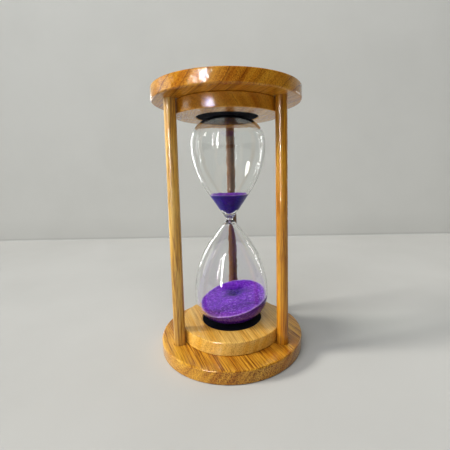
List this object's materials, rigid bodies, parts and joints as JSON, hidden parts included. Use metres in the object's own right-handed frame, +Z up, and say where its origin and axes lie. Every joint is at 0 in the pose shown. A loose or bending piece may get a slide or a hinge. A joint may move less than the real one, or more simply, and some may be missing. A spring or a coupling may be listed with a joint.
{
  "type": "hourglass",
  "caption": "Wooden hourglass: stepped round end plates joined by dowel posts, with a glass vessel of coloured sand gripped between foam pads.",
  "frame": {"origin": "centre of the base plate's underside, on the surface that it stands on", "axes": "+Z up along the glass, +X to the right, +Y to the back, where one of the three posts stands"},
  "size_m": [0.113, 0.113, 0.2],
  "materials": {
    "plate_wood": "honey-brown wood under gloss varnish, with streaky grain",
    "step_wood": "lighter honey wood under gloss varnish",
    "post_wood": "honey-brown dowel under gloss varnish, with grain along it",
    "black_foam": "matt black foam rubber",
    "screw_steel": "zinc-plated steel",
    "vessel_glass": "clear lamp-blown glass",
    "stopper_rubber": "dark rubber",
    "violet_sand": "fine dyed violet sand"
  },
  "bodies": {
    "frame": {"base_plate": "plate_wood", "base_step": "step_wood", "base_pad": "black_foam", "top_plate": "plate_wood", "top_step": "step_wood", "top_pad": "black_foam", "post_left": "post_wood", "post_right": "post_wood", "post_back": "post_wood", "base_screw_left": "screw_steel", "base_screw_right": "screw_steel", "base_screw_back": "screw_steel", "top_screw_left": "screw_steel", "top_screw_right": "screw_steel", "top_screw_back": "screw_steel"},
    "vessel": {"glass_vessel": "vessel_glass", "fill_stopper": "stopper_rubber", "upper_sand": "violet_sand", "lower_sand": "violet_sand"}
  },
  "joints": [
    {"name": "vessel_turn", "type": "hinge", "parent": "frame", "child": "vessel", "pos_m": [0, 0, 0.1], "axis": [0, 0, 1], "continuous": true}
  ]
}
